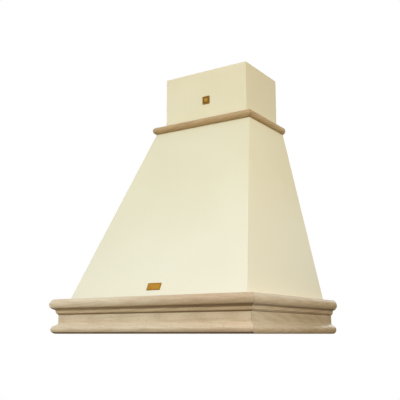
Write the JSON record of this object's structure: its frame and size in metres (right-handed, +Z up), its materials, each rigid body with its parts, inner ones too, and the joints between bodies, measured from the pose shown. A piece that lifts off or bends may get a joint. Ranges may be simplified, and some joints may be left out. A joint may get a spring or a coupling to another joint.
{
  "type": "wooden range hood cover",
  "caption": "Wall-hung wooden cooker hood: mitred cornice below a painted tapering canopy, round-nosed collar and chimney, with blower, grease filter, lamps and push buttons inside.",
  "frame": {"origin": "on the wall plane, centred across the hood, level with the underside of the cornice", "axes": "+Z up, +Y into the wall, +X to the right when facing the wall"},
  "size_m": [0.6, 0.46, 0.74],
  "materials": {
    "beech": "matte",
    "cream_lacquer": "satin",
    "brass": "satin",
    "pine": "matte",
    "plywood": "matte",
    "felt": "matte",
    "stainless": "satin",
    "filter_aluminium": "satin",
    "steel_wire": "satin",
    "galvanised": "matte",
    "flap_aluminium": "matte",
    "motor_paint": "satin",
    "black_plastic": "matte",
    "grey_plastic": "matte",
    "bezel_steel": "satin",
    "lens_glass": "gloss",
    "screw_steel": "satin"
  },
  "bodies": {
    "casing": {"blower_scroll": "galvanised", "blower_side_left": "galvanised", "blower_side_right": "galvanised", "cable_gland": "grey_plastic", "canopy_front": "cream_lacquer", "canopy_left": "cream_lacquer", "canopy_right": "cream_lacquer", "chimney_front": "cream_lacquer", "chimney_left": "cream_lacquer", "chimney_right": "cream_lacquer", "collar_front": "beech", "collar_left": "beech", "collar_right": "beech", "control_fascia": "black_plastic", "cornice_front": "beech", "cornice_left": "beech", "cornice_right": "beech", "damper_pins": "steel_wire", "emblem_plate": "brass", "glue_blocks": "pine", "hip_battens": "pine", "junction_box": "grey_plastic", "junction_lid": "grey_plastic", "lamp_bezel_left": "bezel_steel", "lamp_bezel_right": "bezel_steel", "lamp_lens_left": "lens_glass", "lamp_lens_right": "lens_glass", "liner_pan": "stainless", "machine_screws": "screw_steel", "magnet_catches": "black_plastic", "motor_body": "motor_paint", "motor_bracket": "galvanised", "name_plate": "brass", "outlet_spigot": "galvanised", "pan_ledges": "pine", "rear_rail": "pine", "switch_block": "black_plastic", "top_deck": "plywood", "wall_batten": "pine", "wood_screws": "screw_steel"},
    "extension": {"extension_front": "cream_lacquer", "extension_left": "cream_lacquer", "extension_right": "cream_lacquer", "extension_tie": "pine", "extension_cleats": "pine", "glide_pads": "felt"},
    "filter": {"filter_frame": "filter_aluminium", "filter_grilles": "filter_aluminium", "filter_mesh": "filter_aluminium", "filter_hinge_pins": "steel_wire"},
    "filter_pull": {"filter_pull": "steel_wire"},
    "fan": {"impeller": "black_plastic", "motor_shaft": "steel_wire"},
    "flap_left": {"damper_flap_left": "flap_aluminium"},
    "flap_right": {"damper_flap_right": "flap_aluminium"},
    "off_button": {"off_button": "grey_plastic"},
    "low_button": {"low_button": "grey_plastic"},
    "medium_button": {"medium_button": "grey_plastic"},
    "high_button": {"high_button": "grey_plastic"},
    "lamp_button": {"lamp_button": "grey_plastic"}
  },
  "joints": [
    {"name": "extension_slide", "type": "slide", "parent": "casing", "child": "extension", "axis": [0, 0, 1], "range_m": [0, 0.11]},
    {"name": "filter_swing", "type": "hinge", "parent": "casing", "child": "filter", "pos_m": [0, -0.061, 0.036], "axis": [1, 0, 0], "range_deg": [0, 80]},
    {"name": "filter_pull_swing", "type": "hinge", "parent": "filter", "child": "filter_pull", "pos_m": [0, -0.2995, 0.0285], "axis": [1, 0, 0], "range_deg": [-80, 80]},
    {"name": "fan_spin", "type": "hinge", "parent": "casing", "child": "fan", "pos_m": [0, -0.152, 0.42], "axis": [1, 0, 0], "continuous": true},
    {"name": "flap_left_swing", "type": "hinge", "parent": "casing", "child": "flap_left", "pos_m": [-0.004, -0.088, 0.585], "axis": [0, 1, 0], "range_deg": [0, 70]},
    {"name": "flap_right_swing", "type": "hinge", "parent": "casing", "child": "flap_right", "pos_m": [0.004, -0.088, 0.585], "axis": [0, -1, 0], "range_deg": [0, 70]},
    {"name": "off_press", "type": "slide", "parent": "casing", "child": "off_button", "axis": [0, 0, 1], "range_m": [0, 0.0025], "stiffness_N_per_m": 300},
    {"name": "low_press", "type": "slide", "parent": "casing", "child": "low_button", "axis": [0, 0, 1], "range_m": [0, 0.0025], "stiffness_N_per_m": 300},
    {"name": "medium_press", "type": "slide", "parent": "casing", "child": "medium_button", "axis": [0, 0, 1], "range_m": [0, 0.0025], "stiffness_N_per_m": 300},
    {"name": "high_press", "type": "slide", "parent": "casing", "child": "high_button", "axis": [0, 0, 1], "range_m": [0, 0.0025], "stiffness_N_per_m": 300},
    {"name": "lamp_press", "type": "slide", "parent": "casing", "child": "lamp_button", "axis": [0, 0, 1], "range_m": [0, 0.0025], "stiffness_N_per_m": 300}
  ]
}
